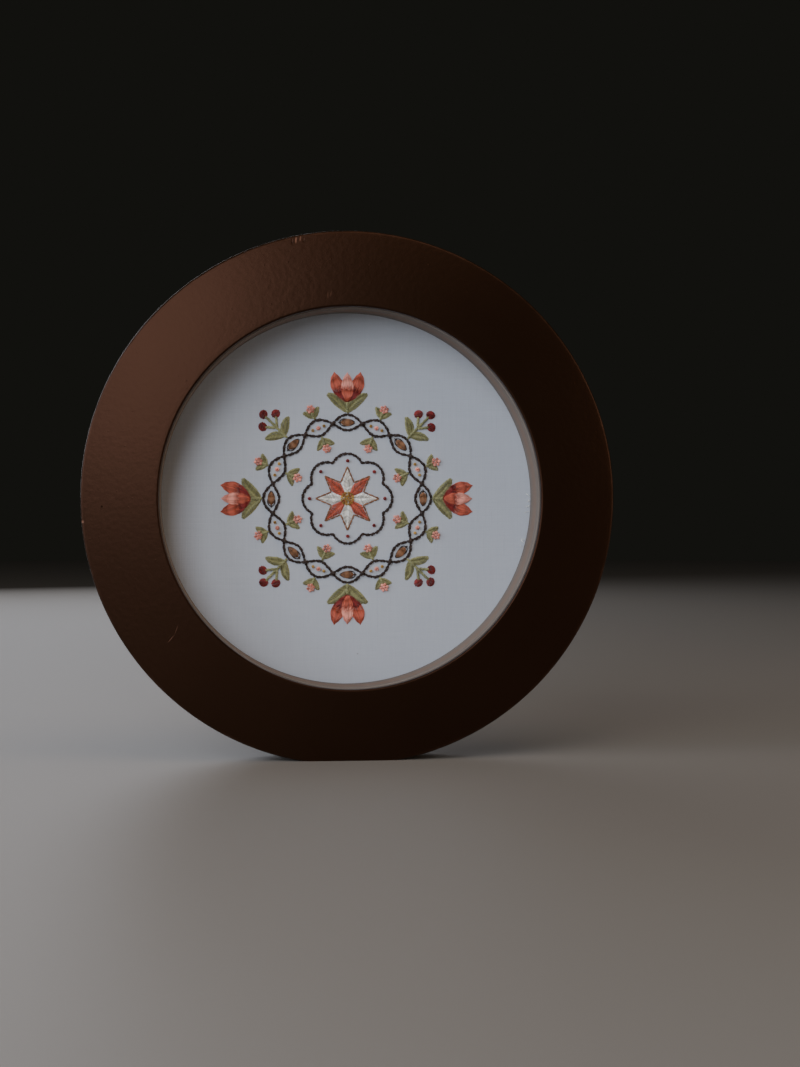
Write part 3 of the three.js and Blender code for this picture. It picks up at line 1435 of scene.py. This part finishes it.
@dataclass
class Tulip(LeafySprig):
    """A tulip on a stem between two leaves: two coral petals behind a blush one."""

    stem: float = 4.8 * MM
    stem_stitches: int = 4
    leaf_foot: float = 0.8 * MM
    leaf_turn: float = 50
    leaf_length: float = 11.5 * MM
    leaf_width: float = 4.8 * MM
    leaf_bend: float = 0.9 * MM
    cup_overlap: float = 0.4 * MM  # how far the flower goes down over the stem
    height: float = 13.2 * MM
    tip_spread: float = 5.6 * MM
    side_foot: float = 0.5 * MM
    bulge: float = 10.4 * MM
    bulge_height: float = 0.42  # share of the flower's height
    inner_bulge: float = 0.6 * MM
    inner_height: float = 0.6
    front_foot: tuple[float, float] = (0.4 * MM, 0.3 * MM)  # its height and half its width
    front_bulge: float = 4.9 * MM
    front_bulge_height: float = 0.5
    front_height: float = 0.98
    front_pile: float = 0.45 * MM
    side_rows: tuple[Row, ...] = (Row(Floss.GARNET, 0.0, 0.6), Row(Floss.CORAL, 0.22, 1.0))
    front_rows: tuple[Row, ...] = (Row(Floss.CORAL, 0.0, 0.62), Row(Floss.BLUSH, 0.24, 1.0))

    def sew(self, root: Spot) -> None:
        """Sews the flower.

        Args:
            root: Foot and direction of its stem.
        """
        super().sew(root)
        cup = root.turned(self.stem - self.cup_overlap, 0)
        for hand in (1, -1):
            tip = cup.at(self.height, hand * self.tip_spread)
            outer_pull = cup.at(self.bulge_height * self.height, hand * self.bulge)
            inner_pull = cup.at(self.inner_height * self.height, -hand * self.inner_bulge)
            outer = bowed(cup.at(0, hand * self.side_foot), outer_pull, tip)
            self.needle.fill(outer, bowed(cup.at(0), inner_pull, tip), self.side_rows)
        tip = cup.at(self.height * self.front_height)
        foot, foot_width = self.front_foot
        left, right = (
            bowed(
                cup.at(foot, hand * foot_width),
                cup.at(self.front_bulge_height * self.height, hand * self.front_bulge),
                tip,
            )
            for hand in (1, -1)
        )
        self.needle.fill(left, right, self.front_rows, self.front_pile)


@dataclass
class BerrySpray(LeafySprig):
    """Three round garnet berries on a fork, over two leaves."""

    stem: float = 6.5 * MM
    stem_stitches: int = 4
    leaf_foot: float = 1.6 * MM
    leaf_turn: float = 58
    leaf_length: float = 8.4 * MM
    leaf_width: float = 3.8 * MM
    leaf_bend: float = 0.7 * MM
    # Each twig's turn in degrees and its length
    fork: tuple[tuple[float, float], ...] = ((-40, 5.2 * MM), (40, 5.2 * MM), (0, 7.2 * MM))
    fork_overlap: float = 0.5 * MM
    twig_stitches: int = 3
    berry_gap: float = 0.8 * MM  # from the twig's end to the berry's middle
    berry_turn: float = 25
    berry_radius: float = 1.9 * MM

    def sew(self, root: Spot) -> None:
        """Sews the spray.

        Args:
            root: Foot and direction of its stem.
        """
        super().sew(root)
        for turn, reach in self.fork:
            twig = root.turned(self.stem - self.fork_overlap, turn)
            self.needle.stem_stitch(lambda t, s=twig, r=reach: s.at(r * t), self.twig_stitches)
            berry = twig.turned(reach + self.berry_gap, self.berry_turn)
            self.needle.disc(Floss.GARNET, berry, self.berry_radius)


@dataclass
class BudSprig(LeafySprig):
    """A short stem with a round bud of knots and two small leaves."""

    stem: float = 3.6 * MM
    stem_stitches: int = 3
    leaf_foot: float = 0.9 * MM
    leaf_turn: float = 48
    leaf_length: float = 5.2 * MM
    leaf_width: float = 2.7 * MM
    leaf_bend: float = 0.4 * MM
    bud_radius: float = 1.6 * MM
    bud_rise: float = 0.7  # how far its middle lies past the stem, as a share of its radius
    knot_size: float = 1.5 * MM

    def sew(self, root: Spot) -> None:
        """Sews the sprig.

        Args:
            root: Foot and direction of its stem.
        """
        super().sew(root)
        middle = root.at(self.stem + self.bud_rise * self.bud_radius)
        self.needle.knot_patch(Floss.BLUSH, middle, self.bud_radius, self.knot_size)


@dataclass
class FrayedEnds:
    """A few loose ends of thread where the cloth goes under the strip, at the right."""

    needle: Needle
    radius: float = 77.6 * MM
    angles: tuple[float, ...] = (0.6, -0.4, -1.3, -2.1, -3.0, -3.9, -12.8, -14.1, -15.5)
    length: float = 2.0 * MM
    length_bounds: tuple[float, float] = (0.6, 1.2)
    lean: float = 70  # greatest lean, in degrees
    width: float = 0.26 * MM

    def sew(self) -> None:
        """Lays the ends, each leaning its own way."""
        dice = self.needle.dice
        for angle in self.angles:
            start = polar(self.radius, math.radians(angle))
            lean = math.radians(angle + 180 + dice.uniform(-self.lean, self.lean))
            end = start + polar(self.length * dice.uniform(*self.length_bounds), lean)
            self.needle.skeins[Floss.CREAM].sew(straight(start, end), self.width, pile=2 * self.width)


@dataclass
class Rosette:
    """The generic folk rosette on the cloth: star, scallops, vines, tulips, berries and buds."""

    cloth: ClothPanel
    seed: int = 11
    fold: int = 8
    clearance: float = 0.5 * MM  # between the vines and the plants that grow from them

    def build(self) -> list[bpy.types.Object]:
        """Sews the whole design.

        Returns:
            One object for each colour of floss.
        """
        dice = random.Random(self.seed)
        skeins = {floss: Skein(floss, self.cloth, dice) for floss in Floss}
        needle = Needle(skeins, dice)
        vines = CrossedVines(needle)
        outer = vines.radius + vines.swing + self.clearance
        inner = vines.radius - vines.swing - self.clearance
        EightPointStar(needle).sew()
        ScallopedLine(needle).sew()
        vines.sew()
        tulip, berries = Tulip(needle), BerrySpray(needle)
        outer_bud = BudSprig(needle)
        inner_bud = BudSprig(needle, stem=4.4 * MM, leaf_foot=1.1 * MM, leaf_length=5.6 * MM)
        for i in range(self.fold):
            angle = FULL_TURN * i / self.fold + QUARTER_TURN
            between = angle + math.pi / self.fold
            motif = berries if i % 2 else tulip
            motif.sew(Spot(polar(outer, angle), angle))
            outer_bud.sew(Spot(polar(outer, between), between))
            inner_bud.sew(Spot(polar(inner, between), between + math.pi))
        FrayedEnds(needle).sew()
        return [skein.finish() for skein in skeins.values()]


@dataclass(frozen=True)
class SoftBox:
    """One large soft light, placed round the object by two angles seen from it."""

    name: str
    azimuth: float  # degrees to the right of the front
    elevation: float
    distance: float
    width: float
    height: float
    power: float
    tint: str

    def hang(self, aim: Vector) -> None:
        """Hangs the light.

        Args:
            aim: Point that it faces.
        """
        lamp = bpy.data.lights.new(self.name, "AREA")
        lamp.shape = "RECTANGLE"
        lamp.size = self.width
        lamp.size_y = self.height
        lamp.energy = self.power
        lamp.color = linear(self.tint)[:3]
        light = bpy.data.objects.new(self.name, lamp)
        turn, tilt = math.radians(self.azimuth), math.radians(self.elevation)
        level = math.cos(tilt)
        toward = Vector((level * math.sin(turn), -level * math.cos(turn), math.sin(tilt)))
        light.location = aim + toward * self.distance
        light.rotation_euler = (-toward).to_track_quat("-Z", "Y").to_euler()
        bpy.context.scene.collection.objects.link(light)


@dataclass
class Studio:
    """Plain pale floor, soft lights, a dim surround and the camera."""

    floor_radius: float = 3.0
    floor_segments: int = 96
    floor_colour: str = "#8a8680"
    surround: str = "#181815"
    # Each light's name, azimuth, elevation, distance, width, height, power and tint
    boxes: tuple[SoftBox, ...] = (
        SoftBox("key", -25, 22, 1.5, 0.8, 1.1, 11.8, "#f3f7ff"),
        SoftBox("left", -68, 15, 1.5, 1.0, 1.0, 12.4, "#f0f4ff"),
        SoftBox("right", 72, 13, 1.5, 1.0, 1.0, 5.0, "#ffe2c4"),
        SoftBox("top", 25, 62, 1.5, 1.2, 0.8, 4.6, "#ffe2c4"),
        SoftBox("back", -157, 18, 1.6, 1.4, 0.9, 8.0, "#f4f6ff"),
    )
    camera_place: tuple[float, float, float] = (-58.6 * MM, -809.9 * MM, 105.0 * MM)
    camera_turn: float = math.radians(5.64)
    camera_dip: float = math.radians(0.81)
    nearest: float = 10 * MM
    focal_px: float = 1950.0
    sensor_mm: float = 36.0

    def build(self, aim: Vector) -> None:
        """Sets up the floor, lights and camera.

        Args:
            aim: Point that the lights face.
        """
        self._floor()
        self._surround()
        for box in self.boxes:
            box.hang(aim)
        self._camera()

    def _floor(self) -> None:
        """Lays a wide matte floor."""
        bm = bmesh.new()
        bmesh.ops.create_circle(bm, cap_ends=True, segments=self.floor_segments, radius=self.floor_radius)
        mesh = bpy.data.meshes.new("floor")
        bm.to_mesh(mesh)
        bm.free()
        material, tree = new_material("matte_floor")
        paint = {"Base Color": linear(self.floor_colour), "Roughness": 0.55}
        add_node(tree, "OutputMaterial", {"Surface": add_node(tree, "BsdfPrincipled", paint)})
        mesh.materials.append(material)
        floor = bpy.data.objects.new("floor", mesh)
        bpy.context.scene.collection.objects.link(floor)

    def _surround(self) -> None:
        """Fills the shadows evenly."""
        world = bpy.data.worlds.new("studio")
        world.use_nodes = True
        tree = world.node_tree
        tree.nodes.clear()
        glow = add_node(tree, "Background", {"Color": linear(self.surround), "Strength": 1.0})
        add_node(tree, "OutputWorld", {"Surface": glow})
        bpy.context.scene.world = world

    def _camera(self) -> None:
        """Places the camera where the photo was taken from."""
        data = bpy.data.cameras.new("camera")
        data.sensor_width = self.sensor_mm
        data.lens = self.sensor_mm * self.focal_px / PHOTO_LONG_SIDE
        data.clip_start = self.nearest
        camera = bpy.data.objects.new("camera", data)
        camera.location = self.camera_place
        level = math.cos(self.camera_dip)
        side, away = level * math.sin(self.camera_turn), level * math.cos(self.camera_turn)
        ahead = Vector((side, away, -math.sin(self.camera_dip)))
        camera.rotation_euler = ahead.to_track_quat("-Z", "Y").to_euler()
        bpy.context.scene.collection.objects.link(camera)
        bpy.context.scene.camera = camera


def main() -> None:
    """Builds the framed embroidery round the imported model, then its studio."""
    logging.basicConfig(level=logging.INFO, format="%(name)s: %(message)s")
    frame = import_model()
    datum = Datum.from_frame()

    FrameRing(datum).build(SatinLacquer())
    SpacerRing(datum).build(BareWood())
    panel = ClothPanel(datum)
    cloth = panel.build(PlainCotton())
    sewing = Rosette(panel).build()
    for slot in frame["nodes"]["backing_board"].material_slots:
        slot.material = FibreBoard().material()

    Studio().build(Vector((0, 0, datum.centre_height)))


if __name__ == "__main__":
    main()
